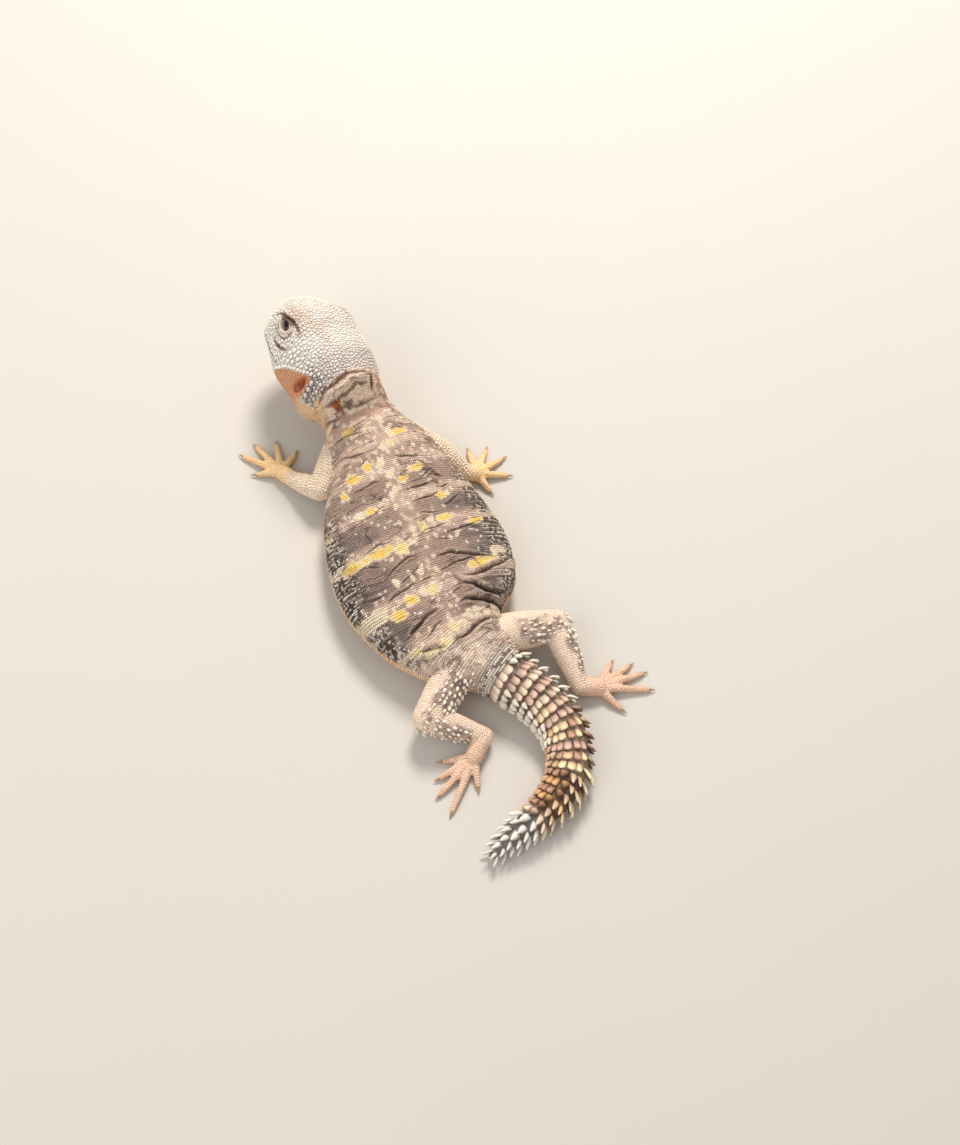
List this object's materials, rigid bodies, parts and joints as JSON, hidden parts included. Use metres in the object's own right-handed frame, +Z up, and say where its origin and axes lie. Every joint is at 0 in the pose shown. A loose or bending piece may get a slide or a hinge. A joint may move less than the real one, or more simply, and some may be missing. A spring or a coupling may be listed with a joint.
{
  "type": "uromastyx lizard model",
  "caption": "Life-size still model of an ornate spiny-tailed lizard basking flat with its head raised and its ringed tail curled.",
  "frame": {"origin": "on the floor, on the flat underside of the middle of the belly", "axes": "+Z up from the floor, +Y from the belly towards the head, +X towards the animal's right side"},
  "size_m": [0.0922, 0.2128, 0.0433],
  "materials": {
    "head": "fine matt scales",
    "neck": "folded skin with small matt scales",
    "trunk": "small matt scales in rows, dark bands and pale spots",
    "tail": "rings of hard spiny scales, satin",
    "foreleg": "small matt scales",
    "hindleg": "small matt scales with pale spiny ones",
    "claw": "polished dark horn",
    "eye": "wet and clear"
  },
  "bodies": {
    "root": {"head": "head", "eye_left": "eye", "eye_right": "eye", "neck": "neck", "trunk": "trunk", "tail_base": "tail", "tail_middle": "tail", "tail_tip": "tail", "upper_arm_left": "foreleg", "forearm_left": "foreleg", "hand_left": "foreleg", "thigh_left": "hindleg", "shin_left": "hindleg", "foot_left": "hindleg", "upper_arm_right": "foreleg", "forearm_right": "foreleg", "hand_right": "foreleg", "thigh_right": "hindleg", "shin_right": "hindleg", "foot_right": "hindleg", "claw_hand_left_1": "claw", "claw_hand_left_2": "claw", "claw_hand_left_3": "claw", "claw_hand_left_4": "claw", "claw_hand_left_5": "claw", "claw_hand_right_1": "claw", "claw_hand_right_2": "claw", "claw_hand_right_3": "claw", "claw_hand_right_4": "claw", "claw_hand_right_5": "claw", "claw_foot_left_1": "claw", "claw_foot_left_2": "claw", "claw_foot_left_3": "claw", "claw_foot_left_4": "claw", "claw_foot_left_5": "claw", "claw_foot_right_1": "claw", "claw_foot_right_2": "claw", "claw_foot_right_3": "claw", "claw_foot_right_4": "claw", "claw_foot_right_5": "claw"}
  },
  "joints": []
}
